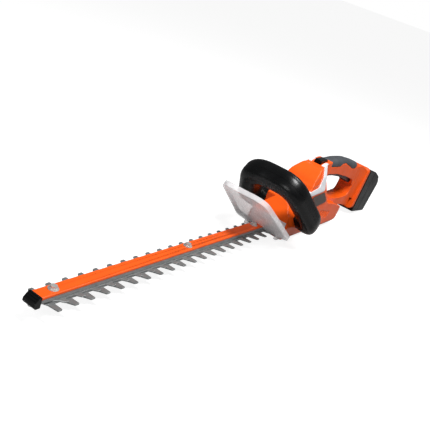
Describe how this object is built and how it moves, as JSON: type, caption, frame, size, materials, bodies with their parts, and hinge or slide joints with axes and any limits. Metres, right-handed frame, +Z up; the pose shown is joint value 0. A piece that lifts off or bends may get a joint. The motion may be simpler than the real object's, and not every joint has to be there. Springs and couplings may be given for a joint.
{
  "type": "cordless hedge trimmer",
  "caption": "Battery hedge trimmer: long toothed twin-blade bar, orange gear and motor housing, clear hand shield, front loop handle, rear trigger grip and slide-on battery.",
  "frame": {"origin": "middle of the tool's length and width, on the floor plane under the gear case's flat foot", "axes": "+X forward to the blade tip, +Y to the tool's left, +Z up with the tool resting on its foot and the blade level"},
  "size_m": [1.1392, 0.1692, 0.1566],
  "materials": {
    "orange_plastic": "satin moulded plastic",
    "soft_grip": "matt soft overmould",
    "silver_plastic": "silver painted plastic",
    "dark_panel": "plain dark panel",
    "screw_steel": "bright zinc plate",
    "black_plastic": "fine textured black plastic",
    "clear_plastic": "clear, slightly cloudy plastic",
    "bar_steel": "ground steel",
    "bronze": "sintered bronze",
    "cast_alloy": "cast finish",
    "can_steel": "drawn steel",
    "magnet": "dull ferrite",
    "spring_steel": "bright wire",
    "brass": "plain brass",
    "lamination": "stacked steel sheets",
    "copper": "copper segments",
    "gear_steel": "hardened steel, lightly greased",
    "blade_steel": "ground blade steel",
    "trigger_plastic": "satin black plastic",
    "charcoal_plastic": "fine textured charcoal plastic",
    "grey_plastic": "light grey moulded plastic",
    "cell_wrap": "shrink sleeve",
    "circuit_board": "green solder mask"
  },
  "bodies": {
    "frame": {"left_housing": "orange_plastic", "right_housing": "orange_plastic", "gear_case_cover": "orange_plastic", "soft_grip": "soft_grip", "left_accent_strip": "silver_plastic", "right_accent_strip": "silver_plastic", "left_label_plate": "dark_panel", "right_label_plate": "dark_panel", "housing_screws": "screw_steel", "bail_front_shell": "black_plastic", "bail_rear_shell": "black_plastic", "bail_screws": "screw_steel", "guard_shield": "clear_plastic", "guard_screws": "screw_steel", "guide_bar": "bar_steel", "bar_cover": "orange_plastic", "blade_bolts": "screw_steel", "blade_washers": "screw_steel", "blade_nuts": "screw_steel", "tip_guard": "black_plastic", "tip_guard_screw": "screw_steel", "gear_bushes": "bronze", "gearbox_plate": "cast_alloy", "motor_can": "can_steel", "motor_end_caps": "black_plastic", "motor_bearings": "bar_steel", "motor_magnets": "magnet", "trigger_pin": "bar_steel", "switch_body": "black_plastic", "lock_off_spring": "spring_steel", "lock_off_seat": "black_plastic", "terminal_blades": "brass"},
    "motor_rotor": {"motor_shaft": "bar_steel", "armature": "lamination", "commutator": "copper", "cooling_fan": "black_plastic", "pinion": "gear_steel"},
    "gear": {"drive_gear": "gear_steel", "gear_shaft": "gear_steel", "lower_eccentric": "gear_steel", "upper_eccentric": "gear_steel"},
    "upper_blade": {"upper_blade": "blade_steel"},
    "lower_blade": {"lower_blade": "blade_steel"},
    "trigger": {"trigger": "trigger_plastic"},
    "switch_plunger": {"switch_plunger": "black_plastic"},
    "lock_off_button": {"lock_off_button": "black_plastic"},
    "battery": {"battery_rail_case": "charcoal_plastic", "battery_outer_case": "charcoal_plastic", "battery_cells": "cell_wrap", "battery_board": "circuit_board", "battery_screws": "screw_steel"},
    "battery_release": {"battery_release": "grey_plastic"}
  },
  "joints": [
    {"name": "upper_blade_slide", "type": "slide", "parent": "frame", "child": "upper_blade", "axis": [1, 0, 0], "range_m": [-0.0075, 0.0075]},
    {"name": "lower_blade_slide", "type": "slide", "parent": "frame", "child": "lower_blade", "axis": [1, 0, 0], "range_m": [-0.0076, 0.0076]},
    {"name": "gear_spin", "type": "hinge", "parent": "frame", "child": "gear", "pos_m": [-0.12985, 0, 0.044], "axis": [0, 0, 1], "range_deg": [-90.5, 90.5]},
    {"name": "motor_spin", "type": "hinge", "parent": "frame", "child": "motor_rotor", "pos_m": [-0.15985, 0, 0.09], "axis": [0, 0, 1], "range_deg": [-361.5, 361.5]},
    {"name": "trigger_pull", "type": "hinge", "parent": "frame", "child": "trigger", "pos_m": [-0.24185, 0, 0.126], "axis": [0, 1, 0], "range_deg": [0, 5], "stiffness_Nm_per_rad": 2, "springref_deg": -20.05},
    {"name": "plunger_slide", "type": "slide", "parent": "frame", "child": "switch_plunger", "axis": [0, 0, 1], "range_m": [0, 0.0036]},
    {"name": "lock_off_press", "type": "slide", "parent": "frame", "child": "lock_off_button", "axis": [0, 0, -1], "range_m": [0, 0.004], "stiffness_N_per_m": 600, "springref_m": -0.003, "deforming": ["lock_off_spring"]},
    {"name": "battery_slide", "type": "slide", "parent": "frame", "child": "battery", "axis": [0.1771, 0, -0.9842], "range_m": [0, 0.095]},
    {"name": "release_press", "type": "slide", "parent": "battery", "child": "battery_release", "axis": [0.9842, 0, 0.1771], "range_m": [0, 0.004], "stiffness_N_per_m": 800, "springref_m": -0.003}
  ],
  "couplings": [
    {"joint": "lower_blade_slide", "follows": "upper_blade_slide", "ratio": -1},
    {"joint": "gear_spin", "follows": "upper_blade_slide", "rad_per_m": -209.44},
    {"joint": "motor_spin", "follows": "upper_blade_slide", "rad_per_m": 837.76},
    {"joint": "plunger_slide", "follows": "trigger_pull", "m_per_rad": 0.036}
  ]
}
